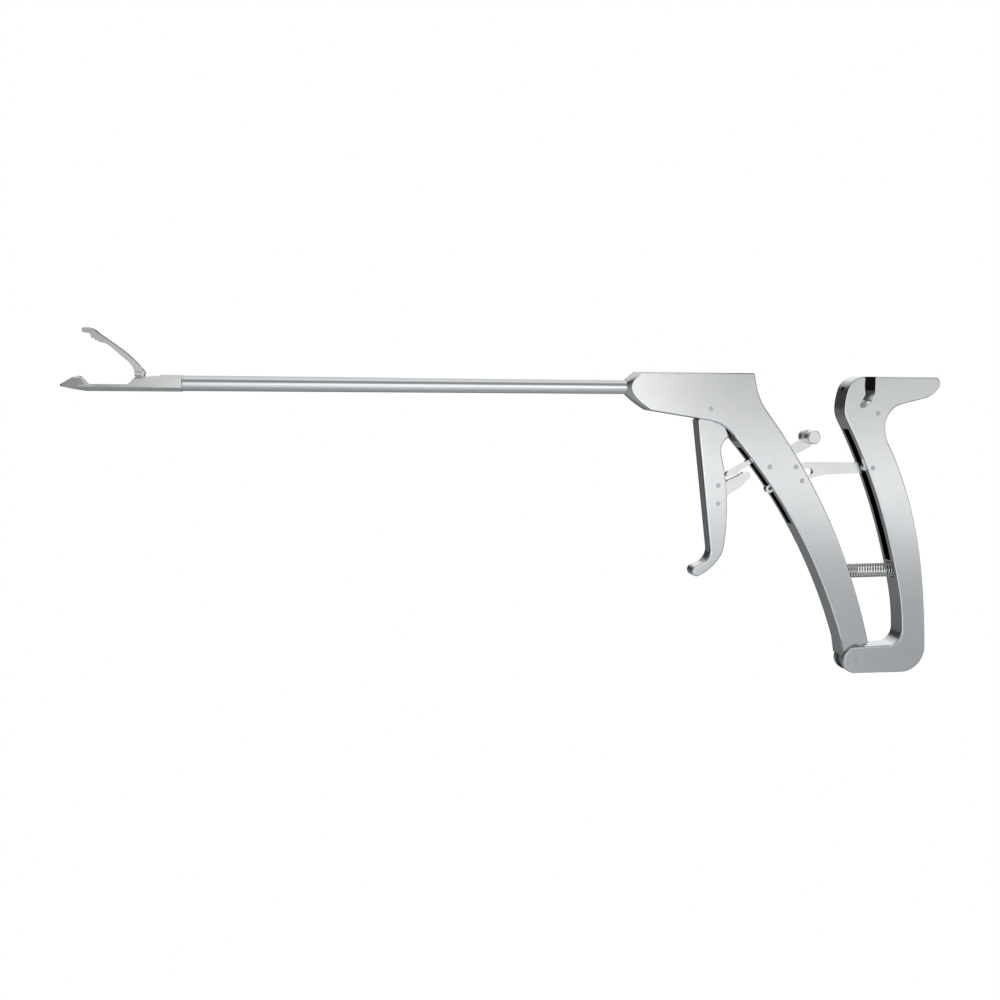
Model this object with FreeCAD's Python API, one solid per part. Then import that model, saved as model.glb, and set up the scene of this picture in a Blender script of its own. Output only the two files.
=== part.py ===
import FreeCAD, Part
import math
import os
from FreeCAD import Vector

# Suture passer for keyhole surgery: a long slim shaft with a hinged jaw at its tip,
# a flat body with a front trigger that closes the jaw, a ratchet that holds it,
# and a sprung rear lever that pushes the needle forward.
# X runs back along the shaft, Z is up and Y is across the flat handle.
# The origin is the mouth of the needle port, on the shaft's axis.
# A station is a distance measured back from the nose of the body, in mm.

# Overall sizes
body_length = 47.0
body_thickness = 7.5
body_top = 5.15
nose_radius = 2.65
nose_length = 9.3
nose_end_radius = 8.85
leg_relief = 5.6
edge_bevel = 0.45
pin_radius = 0.9
running_gap = 0.05
side_gap = 0.15
past = 1.0
SMOOTH = "smooth"

# Shaft, needle guide and jaw rod
shaft_radius = 2.4
shaft_wall = 0.25
shaft_reach = 144.3
shaft_seat = 12.0
guide_radius = 0.75
guide_bore = 0.55
rod_radius = 0.5
rod_height = 1.5
rod_head_half = 0.68
spacer_length = 3.0
spacer_places = (0.15, 0.5, 0.85)
drive_pin_radius = 0.6

# Working end
sleeve_radius = 2.6
sleeve_socket = 5.0
sleeve_length = 6.8
jaw_length = 36.4
jaw_pivot_setback = 11.9
jaw_pivot_height = -0.3
jaw_width = 3.8
tail_width = 3.0
tail_relief = 0.2
tail_gap = 1.6
foot_bevel = 0.4
jaw_slot_width = 3.2
window_width = 1.6
jaw_pin_radius = 0.5
rod_pin_radius = 0.45
bed_height = -0.45
track_width = 1.4
track_depth = 0.5

# Trigger and its ratchet
trigger_thickness = 5.2
trigger_pivot = (29.84, -7.25)
tooth_angle = 1.9
teeth_closed = 4
tooth_height = 0.5
rack_radius = 26.7
rack_thickness = 1.8
rack_first_angle = 18.6
rack_teeth = 8
pawl_teeth = 5
trigger_slot_width = 2.1
trigger_hub_radius = 5.0
rack_rivet_places = ((0.3, 9.1), (6.64, 7.6))
rack_rivet_radius = 0.85

# Release lever
release_pivot = (52.6, -27.45)
release_thickness = 1.8
release_lift = 4.2
tooth_gap = 0.06
flank_gap = 0.2
knob_centre = (69.0, -17.1)
knob_radius = 2.45
knob_length = 7.6
knob_stem_radius = 1.0
knob_bevel = 0.35

# Leg slot with the stop plate
leg_slot_width = 3.4
plate_thickness = 1.5
plate_rivets_at = ((62.47, -27.5), (65.03, -32.5))
eye_centre = (54.0, -35.4)
eye_radius = 1.4
eye_bore = 0.6
eye_boss = 0.6
stop_stud_radius = 1.0
stop_stud_centre = (60.5, -29.9)

# Rear lever, its pivot and its spring
lever_pivot = (90.0, -99.0)
ear_radius = 5.0
foot_slope = 1.35
tongue_radius = 4.2
tongue_thickness = 3.4
ear_gap = 0.2
groove_width = 3.6
spring_height = -66.2
spring_radius = 2.6
spring_wire = 0.8
spring_well_radius = 2.9
spring_start = 82.4
spring_end = 108.0
spring_well_mouths = (90.0, 95.0)
guide_pin_radius = 1.4
guide_pin_length = 8.0

# Link between the rear lever and the stop stud
link_pin_at = (92.33, -28.1)
link_thickness = 1.5
link_offset = 0.15
link_eye_radius = 2.1
link_notch_height = 2.5
link_front = 65.3
link_notch_end = 71.2

# Needle seat in the head of the rear lever
seat_pin_at = (93.04, -8.6)
seat_top = (88.4, -5.3)
seat_half_width = 1.5
seat_thickness = 2.2
needle_hole_radius = 0.8
port_radius = 1.6
port_length = 9.0
port_bore = 1.0
needle_hole_ends = (75.0, 89.0)

# Movement and places worked out from the sizes above
rack_slot_top = trigger_pivot[1] - rack_radius + 8.35
rack_slot_bottom = trigger_pivot[1] - rack_radius - 9.65
jaw_pivot_station = -shaft_reach - jaw_pivot_setback
trigger_swing = teeth_closed * tooth_angle
drive_arm = rod_height - trigger_pivot[1]
rod_travel = 2 * drive_arm * math.tan(math.radians(trigger_swing / 2))
tail_arm = rod_height - jaw_pivot_height
jaw_swing = 2 * math.degrees(math.atan(rod_travel / 2 / tail_arm))


def at(station, y, z):
    """A point in the part's frame from its station behind the nose."""
    return Vector(station - body_length, y, z)


def outline(start, steps, y=0.0):
    """A closed flat face, drawn in steps from a starting point.

    Two numbers are the end of a line and four are a point on an arc and its end.
    Two numbers and SMOOTH are the end of an arc that carries on from the last edge's direction.
    """
    edges = []
    here = Vector(start[0], 0, start[1])
    heading = Vector(1, 0, 0)
    for step in list(steps) + [start]:
        there = Vector(step[-2], 0, step[-1]) if len(step) != 3 else Vector(step[0], 0, step[1])
        chord = there - here
        if chord.Length < 1e-6:
            continue
        middle = None
        if len(step) == 4:
            middle = Vector(step[0], 0, step[1])
        elif len(step) == 3:
            along = Vector(chord).normalize()
            across = heading - along * heading.dot(along)
            if across.Length > 1e-6:
                turn = math.atan2(across.Length, heading.dot(along))
                bow = chord.Length / 2 * math.tan(turn / 2)
                middle = (here + there) / 2 + across.normalize() * bow
        first = at(here.x, y, here.z)
        last = at(there.x, y, there.z)
        if middle is None:
            edge = Part.LineSegment(first, last).toShape()
        else:
            edge = Part.Arc(first, at(middle.x, y, middle.z), last).toShape()
        edges.append(edge)
        heading = edge.tangentAt(edge.LastParameter)
        if (edge.valueAt(edge.LastParameter) - last).Length > 1e-6:
            heading = edge.tangentAt(edge.FirstParameter) * -1
        heading.normalize()
        here = there
    return Part.Face(Part.Wire(edges))


def plate(start, steps, y_low, y_high):
    """A flat piece with the given outline between two faces across the handle."""
    return outline(start, steps, y_low).extrude(Vector(0, y_high - y_low, 0))


def centred_plate(start, steps, thickness):
    return plate(start, steps, -thickness / 2, thickness / 2)


def cross_pin(centre, radius, y_low, y_high):
    """A round pin across the handle."""
    return Part.makeCylinder(radius, y_high - y_low, at(centre[0], y_low, centre[1]), Vector(0, 1, 0))


def centred_pin(centre, radius, length):
    return cross_pin(centre, radius, -length / 2, length / 2)


def rod_along(first, last, radius, y=0.0, z=0.0):
    """A round bar along the shaft between two stations."""
    return Part.makeCylinder(radius, last - first, at(first, y, z), Vector(1, 0, 0))


def block(first, last, y_low, y_high, z_low, z_high):
    return Part.makeBox(last - first, y_high - y_low, z_high - z_low, at(first, y_low, z_low))


def about(centre, offsets):
    """Outline steps given as distances from a centre, as steps in the part's own numbers."""
    steps = []
    for step in offsets:
        placed = [value + centre[index % 2] for index, value in enumerate(step)]
        steps.append(tuple(placed))
    return steps


def swung(shape, centre, degrees):
    """A copy turned about a pivot across the handle; positive lifts the rear end."""
    turned = shape.copy()
    turned.rotate(at(centre[0], 0, centre[1]), Vector(0, -1, 0), degrees)
    return turned


def polar(centre, radius, degrees):
    """A point at a radius from a centre, its angle counted from straight down towards the rear."""
    angle = math.radians(degrees)
    return (centre[0] + radius * math.sin(angle), centre[1] - radius * math.cos(angle))


def bar(first, last, radius, thickness_low, thickness_high):
    """A flat bar with two round ends."""
    dx = last[0] - first[0]
    dz = last[1] - first[1]
    reach = math.hypot(dx, dz)
    nx = -dz / reach * radius
    nz = dx / reach * radius
    ux = dx / reach * radius
    uz = dz / reach * radius
    start = (first[0] + nx, first[1] + nz)
    steps = [
        (last[0] + nx, last[1] + nz),
        (last[0] + ux, last[1] + uz, last[0] - nx, last[1] - nz),
        (first[0] - nx, first[1] - nz),
        (first[0] - ux, first[1] - uz, start[0], start[1]),
    ]
    return plate(start, steps, thickness_low, thickness_high)


def bevelled(shape, thickness, bevel):
    """The piece with a narrow bevel round both flat faces."""
    rims = []
    for edge in shape.Edges:
        box = edge.BoundBox
        flat = box.YLength < 1e-6
        if flat and abs(abs(box.YMin) - thickness / 2) < 1e-6:
            rims.append(edge)
    return shape.makeChamfer(bevel, rims)


def body_plate():
    """The flat body and its leg, before the pockets are cut."""
    leg_end = polar(lever_pivot, leg_relief, 164)
    horn = polar(lever_pivot, leg_relief, -108)
    top_of_relief = polar(lever_pivot, leg_relief, -150)
    start = (-1.0, body_top)
    steps = [
        (45.5, body_top),
        (46.35, 1.4),
        (48.1, -3.7, 51.04, -8.21),
        (66.4, -29.3, 78.86, -51.07),
        (88.4, -73.3, 94.75, -92.9),
        leg_end,
        (top_of_relief[0], top_of_relief[1], horn[0], horn[1]),
        (83.52, -91.11),
        (65.3, -51.9, 43.0, -21.43),
        (40.0, -18.0),
        (35.6, -13.7, 28.5, -11.0),
        (-1.0, -6.45),
    ]
    flat = bevelled(centred_plate(start, steps, body_thickness), body_thickness, edge_bevel)
    return flat.common(nose_form())


def nose_form():
    """The turned nose that blends the shaft into the flat body, with all that lies behind it."""
    far = 140.0
    half = 60.0
    edges = [
        Part.LineSegment(at(0, 0, 0), at(0, 0, nose_radius)).toShape(),
        Part.Arc(at(0, 0, nose_radius), at(4.2, 0, 5.95), at(nose_length, 0, nose_end_radius)).toShape(),
        Part.LineSegment(at(nose_length, 0, nose_end_radius), at(nose_length, 0, 0)).toShape(),
        Part.LineSegment(at(nose_length, 0, 0), at(0, 0, 0)).toShape(),
    ]
    nose = Part.Face(Part.Wire(edges)).revolve(at(0, 0, 0), Vector(1, 0, 0), 360)
    behind = block(nose_length - 0.01, far, -half, half, -2 * half, half)
    return nose.fuse(behind)


def trigger_pocket():
    """The room in the body for the trigger's hub, its drive arm and its swing."""
    width = trigger_thickness + 2 * side_gap
    x, z = trigger_pivot
    hub = centred_pin(trigger_pivot, trigger_hub_radius + 0.6, width)
    arm = block(x - 4.4, x + 3.6, -width / 2, width / 2, z, rod_height + 1.9)
    below = centred_plate((x - 5.6, z), [(x - 5.6, -15.0), (40.6, -22.0), (40.6, -13.2), (x + 4.6, z)], width)
    return hub.fuse([arm, below])


def leg_slot():
    """The slot through the leg for the release lever and the link."""
    start = (41.0, -26.0)
    steps = [
        (41.9, -21.0),
        (53.0, -17.2),
        (60.5, -16.2),
        (72.5, -34.4),
        (64.0, -37.0),
        (66.6, -44.5),
        (62.6, -48.6),
        (56.0, -46.0),
    ]
    return centred_plate(start, steps, leg_slot_width)


def grip_body():
    """The body with its leg: nose, shaft bore, trigger pocket, leg slot and pivot tongue."""
    body = body_plate()
    x, z = lever_pivot
    tongue_root = block(x - tongue_radius, x + tongue_radius,
                        -tongue_thickness / 2, tongue_thickness / 2, z, -90.0)
    tongue = centred_pin(lever_pivot, tongue_radius, tongue_thickness)
    body = body.fuse([tongue_root, tongue])
    cuts = [
        rod_along(-1, shaft_seat, shaft_radius),
        rod_along(shaft_seat - 0.5, trigger_pivot[0] - 2, shaft_radius - shaft_wall),
        rod_along(trigger_pivot[0], body_length, guide_radius),
        rod_along(body_length - port_length, body_length + 1, port_radius),
        trigger_pocket(),
        leg_slot(),
        centred_pin(trigger_pivot, pin_radius, body_thickness + 1),
        centred_pin(release_pivot, pin_radius, body_thickness + 1),
        centred_pin(lever_pivot, pin_radius, body_thickness + 1),
        rod_along(spring_start, spring_well_mouths[0], spring_well_radius, 0, spring_height),
    ]
    for centre in plate_rivets_at:
        cuts.append(cross_pin(centre, pin_radius, -body_thickness, 0))
    return body.cut(cuts).removeSplitter()


def shaft_tube():
    outer = rod_along(-shaft_reach - sleeve_socket, shaft_seat, shaft_radius)
    inner = rod_along(-shaft_reach - sleeve_socket - 1, shaft_seat + 1, shaft_radius - shaft_wall)
    return outer.cut(inner)


def needle_guide():
    """The thin tube that leads the needle from the port to the jaws."""
    first = jaw_pivot_station + 3.4
    last = body_length - port_length
    return rod_along(first, last, guide_radius).cut(rod_along(first - 1, last + 1, guide_bore))


def needle_port():
    """The bush in the body's rear face that the needle enters."""
    first = body_length - port_length
    bush = rod_along(first, body_length, port_radius)
    return bush.cut(rod_along(first - past, body_length + past, port_bore))


def guide_spacers():
    """Three discs in the shaft that carry the needle guide and steady the rod."""
    spacers = []
    relief_half = 0.9 * rod_radius
    for share in spacer_places:
        first = -shaft_reach * share
        last = first + spacer_length
        disc = rod_along(first, last, shaft_radius - shaft_wall)
        disc = disc.cut(rod_along(first - past, last + past, guide_radius))
        disc = disc.cut(rod_along(first - past, last + past, rod_radius + running_gap, 0, rod_height))
        relief = block(first - past, last + past, -relief_half, relief_half, rod_height, shaft_radius)
        spacers.append(disc.cut(relief))
    return Part.makeCompound(spacers)


def lower_jaw():
    """The fixed jaw: socket for the shaft, walls round the pivot, flat bed and ramp at the tip."""
    end = -shaft_reach
    pivot = jaw_pivot_station
    tip = end - jaw_length
    bottom = -sleeve_radius - 0.1
    start = (end, sleeve_radius)
    steps = [
        (end - sleeve_length, sleeve_radius),
        (end - sleeve_length, 2.27),
        (pivot - 1.6, 2.2),
        (pivot - 4.5, bed_height),
        (tip + 7.8, bed_height),
        (tip + 6.3, 1.45),
        (tip + 5.9, 1.9, tip + 5.2, 2.0),
        (tip + 4.2, 1.75),
        (tip + 0.4, -0.45),
        (tip, -0.75, tip + 0.5, -1.2),
        (tip + 4.2, -2.0, tip + 8.7, bottom),
        (end, bottom),
    ]
    side = centred_plate(start, steps, 4 * sleeve_radius)
    round_bar = rod_along(tip - past, end, sleeve_radius)
    half_tip = 1.15
    half = -bottom
    under = 2 * bottom
    shoulder = tip + 10.7
    nose = tip + 0.7
    near_corner = at(nose, -half_tip, under)
    far_corner = at(nose, half_tip, under)
    plan_edges = [
        Part.LineSegment(at(end, -half, under), at(shoulder, -half, under)).toShape(),
        Part.Arc(at(shoulder, -half, under), at(tip + 4.2, -2.1, under), near_corner).toShape(),
        Part.Arc(near_corner, at(tip, 0, under), far_corner).toShape(),
        Part.Arc(far_corner, at(tip + 4.2, 2.1, under), at(shoulder, half, under)).toShape(),
        Part.LineSegment(at(shoulder, half, under), at(end, half, under)).toShape(),
        Part.LineSegment(at(end, half, under), at(end, -half, under)).toShape(),
    ]
    plan = Part.Face(Part.Wire(plan_edges)).extrude(Vector(0, 0, 4 * half))
    jaw = side.common(round_bar).common(plan)
    half_slot = jaw_slot_width / 2
    half_track = track_width / 2
    cuts = [
        rod_along(end - sleeve_socket, end + past, shaft_radius),
        rod_along(pivot, end, shaft_radius - shaft_wall),
        block(pivot - 2.4, pivot + 2.5, -half_slot, half_slot, jaw_pivot_height - 1.3, 2 * sleeve_radius),
        block(pivot - 5.8, pivot - 2.3, -half_slot, half_slot, bed_height, 2 * sleeve_radius),
        block(tip + 8.1, pivot - 2.3, -half_track, half_track, bed_height - track_depth, sleeve_radius),
        centred_pin((pivot, jaw_pivot_height), jaw_pin_radius, 3 * sleeve_radius),
    ]
    return jaw.cut(cuts).removeSplitter()


def jaw_tail():
    """The two tail plates that straddle the needle's path, with open slots for the rod's pin."""
    pivot = (jaw_pivot_station, jaw_pivot_height)
    lean = jaw_swing / 2
    lobe_reach = tail_arm + 0.65
    lobe_half = 1.15
    root = 1.1
    half = tail_width / 2
    x, z = pivot
    disc = centred_pin(pivot, root, tail_width)
    lobe = swung(block(x - lobe_half, x + lobe_half, -half, half, z, z + lobe_reach), pivot, -lean)
    neck_steps = [
        (-2.5, 2.4),
        (-2.5, 3.9),
        (-3.1, 5.55),
        (-4.06, 6.85),
        (-2.4, 7.2),
        (-0.7, 5.2),
        (1.35, 2.7),
        (root, 0),
    ]
    neck = centred_plate((x - root, z), about(pivot, neck_steps), tail_width - 2 * tail_relief)
    foot = block(x - 2.5, x, -half, half, z + 2.4, z + 3.9)
    long_edges = [edge for edge in foot.Edges if edge.BoundBox.XLength > 1]
    foot = foot.makeFillet(foot_bevel, long_edges)
    tail = neck.fuse([disc, lobe, foot])
    slot_half = rod_pin_radius + 0.1
    slot = block(x - slot_half, x + slot_half, -tail_width, tail_width,
                 z + tail_arm - slot_half - running_gap, z + lobe_reach + 6)
    slot = swung(slot, pivot, -lean)
    between = centred_pin(pivot, 5.0, tail_gap)
    return tail.cut([slot, between])


def upper_jaw():
    """The hinged jaw as it stands open: bowed beam, window near the nose and a row of grip teeth."""
    pivot = (jaw_pivot_station, jaw_pivot_height)
    offsets = [
        (1.7, 2.65),
        (-1.1, 5.75),
        (-3.84, 8.6, -6.69, 11.02),
        (-12.8, 15.55),
        (-13.9, 16.5, -15.1, 17.02),
        (-16.4, 17.0),
        (-17.05, 16.75, -17.2, 16.1),
        (-17.05, 15.6),
        (-15.4, 15.45),
        (-14.9, 15.15),
        (-14.5, 13.92),
        (-13.94, 14.23),
        (-13.57, 13.33),
        (-13.04, 13.67),
        (-12.67, 12.99),
        (-12.1, 12.6),
        (-10.75, 12.44),
        (-9.2, 11.47),
        (-6.96, 9.38),
        (-4.06, 6.78),
        (-3.02, 5.48),
        (-2.3, 3.8),
    ]
    steps = about(pivot, offsets)
    beam = centred_plate(steps[0], steps[1:], jaw_width).cut(centred_pin(pivot, 5.6, jaw_width + past))
    window_steps = about(pivot, [(-16.2, 18.4), (-17.6, 16.0), (-12.1, 10.3), (-10.5, 12.0), (-14.1, 18.4)])
    window = centred_plate(window_steps[0], window_steps[1:], window_width)
    x, z = pivot
    nose_bridge = block(x - 18.3, x - 16.1, -window_width, window_width, z + 15, z + 18.5)
    jaw = beam.cut(window.cut(nose_bridge)).fuse(jaw_tail())
    jaw = jaw.cut(centred_pin(pivot, jaw_pin_radius + running_gap / 2, 2 * jaw_width))
    return jaw.removeSplitter()


def jaw_pivot_pins():
    """Two stub pins, one in each wall, so that the needle's path between them stays open."""
    pivot = (jaw_pivot_station, jaw_pivot_height)
    inner = tail_gap / 2
    outer = 2.3
    return Part.makeCompound([
        cross_pin(pivot, jaw_pin_radius, inner, outer),
        cross_pin(pivot, jaw_pin_radius, -outer, -inner),
    ])


def rod_tail_station():
    """Where the rod's front pin stands while the jaw is open."""
    return jaw_pivot_station + rod_travel / 2


def rod_drive_station():
    """Where the rod's rear pin stands while the trigger is let go."""
    return trigger_pivot[0] + rod_travel / 2


def jaw_rod():
    """The push rod, with a flat head at each end."""
    front = rod_tail_station()
    rear = rod_drive_station()
    rod = rod_along(front, rear, rod_radius, 0, rod_height)
    half = rod_head_half
    under = rod_height - rod_radius
    front_head = block(front - 0.75, front + 2.2, -half, half, under, rod_height + rod_radius)
    rear_head = block(rear - 2.2, rear + 1.0, -half, half, under, rod_height + 0.9)
    rod = rod.fuse([front_head, rear_head])
    rod = rod.cut(centred_pin((front, rod_height), rod_pin_radius, 4))
    return rod.cut(centred_pin((rear, rod_height), drive_pin_radius, 6))


def rod_front_pin():
    return centred_pin((rod_tail_station(), rod_height), rod_pin_radius, tail_width)


def rod_drive_pin():
    return centred_pin((rod_drive_station(), rod_height), drive_pin_radius, trigger_thickness)


def trigger():
    """The finger trigger: drive fork, hub, stem with the rack's slot, and curled toe."""
    x, z = trigger_pivot
    half = trigger_thickness / 2
    start = (25.6, -11.0)
    steps = [
        (31.95, -56.2),
        (28.8, -61.6, SMOOTH),
        (26.6, -62.5, SMOOTH),
        (28.1, -66.0, SMOOTH),
        (35.6, -59.8, SMOOTH),
        (37.3, -55.2, SMOOTH),
        (34.95, -23.0, SMOOTH),
        (37.6, -16.9, SMOOTH),
        (35.6, -12.4),
        (34.0, -9.0),
    ]
    stem = bevelled(centred_plate(start, steps, trigger_thickness), trigger_thickness, edge_bevel)
    hub = centred_pin(trigger_pivot, trigger_hub_radius, trigger_thickness)
    arm_half = 2.0
    arm_reach = drive_arm + 1.1
    arm = block(x - arm_half, x + arm_half, -half, half, z, z + arm_reach)
    arm = swung(arm, trigger_pivot, -trigger_swing / 2)
    body = stem.fuse([hub, arm])
    fork_half = 1.3
    fork = block(x - 6, x + 6, -fork_half, fork_half, -2.2, 4.0)
    slot_half = drive_pin_radius + running_gap
    slot = block(x - slot_half, x + slot_half, -trigger_thickness, trigger_thickness,
                 z + drive_arm - slot_half - 0.1, z + arm_reach + 1)
    slot = swung(slot, trigger_pivot, -trigger_swing / 2)
    rack_steps = [(39.0, rack_slot_bottom), (39.0, rack_slot_top), (31.6, rack_slot_top), (30.4, -31.0)]
    rack_slot = centred_plate((30.4, rack_slot_bottom), rack_steps, trigger_slot_width)
    cuts = [fork, slot, rack_slot, centred_pin(trigger_pivot, pin_radius + running_gap, 10)]
    for centre in rack_rivet_centres():
        cuts.append(centred_pin(centre, rack_rivet_radius, 10))
    return body.cut(cuts).removeSplitter()


def rack_rivet_centres():
    return [polar(trigger_pivot, rack_radius + extra, angle) for extra, angle in rack_rivet_places]


def rack_tooth_line():
    """Points of the rack's saw teeth on an arc about the trigger's pivot, each with one steep flank."""
    points = []
    for index in range(rack_teeth):
        flank = rack_first_angle + index * tooth_angle
        points.append(polar(trigger_pivot, rack_radius, flank))
        points.append(polar(trigger_pivot, rack_radius - tooth_height, flank))
    points.append(polar(trigger_pivot, rack_radius, rack_first_angle + rack_teeth * tooth_angle))
    return points


def ratchet_rack():
    """The toothed quadrant riveted into the trigger's stem."""
    teeth = rack_tooth_line()
    root_start = polar(trigger_pivot, rack_radius, rack_first_angle - 8.0)
    root_mid = polar(trigger_pivot, rack_radius, rack_first_angle - 4.0)
    first_tooth = polar(trigger_pivot, rack_radius, rack_first_angle)
    steps = [(root_mid[0], root_mid[1], first_tooth[0], first_tooth[1])]
    steps += teeth[1:]
    tip_angle = rack_first_angle + rack_teeth * tooth_angle
    tip_round = polar(trigger_pivot, rack_radius + 2.46, tip_angle + 1.6)
    tip_low = polar(trigger_pivot, rack_radius + 2.94, tip_angle - 1.1)
    steps += [
        polar(trigger_pivot, rack_radius + 0.2, tip_angle + 1.2),
        (tip_round[0], tip_round[1], tip_low[0], tip_low[1]),
        polar(trigger_pivot, rack_radius + 3.9, 25.9),
        polar(trigger_pivot, rack_radius + 4.8, 16.2),
    ]
    for extra, angle in ((8.9, 10.6), (9.3, 7.0), (8.1, 3.6), (-0.3, 4.7)):
        steps.append(polar(trigger_pivot, rack_radius + extra, angle))
    rack = centred_plate(root_start, steps, rack_thickness)
    for centre in rack_rivet_centres():
        rack = rack.cut(centred_pin(centre, rack_rivet_radius, 4))
    return rack


def rack_rivets():
    pins = [centred_pin(centre, rack_rivet_radius, trigger_thickness) for centre in rack_rivet_centres()]
    return Part.makeCompound(pins)


def release_lever():
    """The pawl: toothed front arm, hub and rear arm that carries the thumb knob."""
    first = rack_first_angle + tooth_angle
    bite = rack_radius - tooth_gap
    clear_radius = rack_radius - tooth_height - 0.3
    start = polar(trigger_pivot, bite - 1.1, first - 2.0)
    teeth = [polar(trigger_pivot, bite - tooth_height, first - 1.6)]
    for index in range(pawl_teeth):
        flank = first + index * tooth_angle - flank_gap
        teeth.append(polar(trigger_pivot, bite, flank))
        teeth.append(polar(trigger_pivot, bite - tooth_height, flank))
    last_angle = first + pawl_teeth * tooth_angle
    end_angle = 43.5
    last = polar(trigger_pivot, clear_radius, last_angle)
    clear_mid = polar(trigger_pivot, clear_radius, (last_angle + end_angle) / 2)
    clear_end = polar(trigger_pivot, clear_radius, end_angle)
    x, z = release_pivot
    steps = teeth + [
        last,
        (clear_mid[0], clear_mid[1], clear_end[0], clear_end[1]),
        (x - 2.2, z + 0.6),
        (x, z - 2.3, x + 2.1, z - 0.4),
        (58.0, -25.0),
        (64.9, -21.6),
        (68.4, -19.5),
        (69.6, -17.1),
        (67.6, -15.6),
        (61.1, -19.4),
        (53.6, -24.4),
        (51.5, -23.6, 49.4, -23.9),
        (46.4, -25.1),
        (39.4, -29.7),
        (38.3, -30.4, start[0], start[1]),
    ]
    lever = centred_plate(start, steps, release_thickness)
    lever = swung(lever, release_pivot, -release_lift)
    lever = lever.cut(centred_pin(release_pivot, pin_radius + running_gap, 4))
    return lever.cut(centred_pin(knob_centre, knob_stem_radius, 4)).removeSplitter()


def thumb_knob():
    """The cross knob at the end of the release lever, slotted over its arm."""
    knob = centred_pin(knob_centre, knob_radius, knob_length)
    rims = [edge for edge in knob.Edges if edge.BoundBox.YLength < 1e-6]
    knob = knob.makeChamfer(knob_bevel, rims)
    x, z = knob_centre
    room = 2 * knob_radius
    slot = block(x - room, x + room, -release_thickness / 2, release_thickness / 2, z - room, z + room)
    knob = knob.cut(slot)
    return knob.fuse(centred_pin(knob_centre, knob_stem_radius, release_thickness + 0.2))


def stop_plate():
    """The plate riveted in the near half of the leg's slot, with a round eye in front of the leg."""
    near = -plate_thickness - 0.1
    far = -0.1
    first, second = plate_rivets_at
    neck = bar(eye_centre, (61.5, -31.5), eye_radius, near, far)
    lobe = bar(first, second, 1.9, near, far)
    eye = cross_pin(eye_centre, eye_radius, near, eye_boss)
    body = neck.fuse([lobe, eye])
    cuts = [centred_pin(eye_centre, eye_bore, 6)]
    for centre in plate_rivets_at:
        cuts.append(cross_pin(centre, pin_radius, -4, 0))
    return body.cut(cuts).removeSplitter()


def stop_plate_rivets():
    return Part.makeCompound([cross_pin(c, pin_radius, -body_thickness / 2, -0.1) for c in plate_rivets_at])


def stroke_stop_stud():
    """The stud on the stop plate that ends the lever's stroke in the link's notch."""
    return cross_pin(stop_stud_centre, stop_stud_radius, -0.1, leg_slot_width / 2)


def lever_outline():
    x, z = lever_pivot
    heel = polar(lever_pivot, ear_radius, -foot_slope)
    start = (114.8, 4.4)
    steps = [
        (87.0, 4.4),
        (81.0, 0.0, SMOOTH),
        (79.95, -6.5, SMOOTH),
        (81.2, -11.2, SMOOTH),
        (90.41, -28.8, SMOOTH),
        (105.67, -73.17, SMOOTH),
        (107.87, -88.5, SMOOTH),
        (102.4, z + ear_radius, SMOOTH),
        (x, z + ear_radius),
        (x - ear_radius, z, heel[0], heel[1]),
        (108.85, heel[1] - (108.85 - heel[0]) * math.tan(math.radians(foot_slope))),
        (117.9, z + 4.0, SMOOTH),
        (114.34, -65.19, SMOOTH),
        (101.32, -25.27, SMOOTH),
        (98.4, -20.0, SMOOTH),
        (96.4, -13.4, SMOOTH),
        (102.64, -5.19, SMOOTH),
        (111.5, -3.05, SMOOTH),
        (116.9, 1.0, SMOOTH),
        (114.8, 4.4, SMOOTH),
    ]
    return start, steps


def needle_slot():
    """The slanting slot across the lever's head that takes the needle's end."""
    start = (87.5, 6.0)
    steps = [
        (87.4, 1.0),
        (87.9, -1.8),
        (86.3, -4.7),
        (86.3, -6.2, 87.7, -6.3),
        (90.2, -4.4),
        (91.5, -1.2),
        (91.25, 6.0),
    ]
    return centred_plate(start, steps, body_thickness + 2)


def lever_groove():
    """The groove in the lever's front edge for the link's end."""
    start = (80.0, -15.0)
    steps = [(85.8, -13.6), (96.6, -30.0), (104.2, -50.0), (107.4, -62.5), (98.0, -62.5), (84.0, -28.0)]
    return centred_plate(start, steps, groove_width)


def rear_lever():
    """The rear lever: needle head and thumb tail above, ears round the leg's tongue below."""
    start, steps = lever_outline()
    lever = bevelled(centred_plate(start, steps, body_thickness), body_thickness, edge_bevel)
    x, z = lever_pivot
    ear_slot = tongue_thickness + 2 * ear_gap
    ear_room = block(x - 8, x + 5.5, -ear_slot / 2, ear_slot / 2, z, z + 8)
    ear_round = centred_pin(lever_pivot, 5.5, ear_slot)
    seat_pocket = bar(seat_top, seat_pin_at, seat_half_width + 0.05,
                      -seat_thickness / 2 - 0.05, seat_thickness / 2 + 0.05)
    cuts = [
        ear_room,
        ear_round,
        needle_slot(),
        lever_groove(),
        seat_pocket,
        rod_along(needle_hole_ends[0], needle_hole_ends[1], needle_hole_radius),
        rod_along(spring_well_mouths[1], spring_end, spring_well_radius, 0, spring_height),
        centred_pin(lever_pivot, pin_radius + running_gap, 10),
        centred_pin(seat_pin_at, pin_radius, 10),
        centred_pin(link_pin_at, pin_radius, 10),
    ]
    return lever.cut(cuts).removeSplitter()


def needle_seat():
    """The pinned insert that forms the floor of the needle's slot."""
    seat = bar(seat_top, seat_pin_at, seat_half_width, -seat_thickness / 2, seat_thickness / 2)
    return seat.cut(centred_pin(seat_pin_at, pin_radius, 4))


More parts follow.
